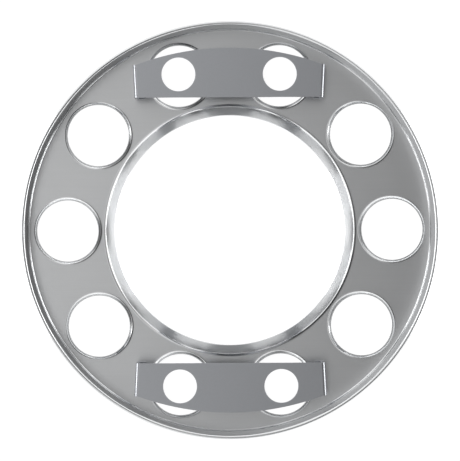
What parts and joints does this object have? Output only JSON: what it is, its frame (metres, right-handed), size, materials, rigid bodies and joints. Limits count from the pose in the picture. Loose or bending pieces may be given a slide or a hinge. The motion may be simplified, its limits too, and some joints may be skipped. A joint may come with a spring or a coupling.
{
  "type": "wheel trim ring",
  "caption": "Pressed stainless trim ring for a truck wheel, with collared nut holes, a curled rim, a leaning hub lip and welded stand-off brackets on the back.",
  "frame": {"origin": "on the wheel's axis, in the plane of the show face", "axes": "+Z along the wheel's axis from the show face towards the wheel; +Y towards the upper bracket; a nut hole lies on +X"},
  "size_m": [0.4265, 0.4266, 0.025],
  "materials": {
    "stainless_sheet": "satin face, bright folds",
    "bracket_plate": "mill finish"
  },
  "bodies": {
    "root": {"trim_ring": "stainless_sheet", "upper_bracket": "bracket_plate", "lower_bracket": "bracket_plate"}
  },
  "joints": []
}
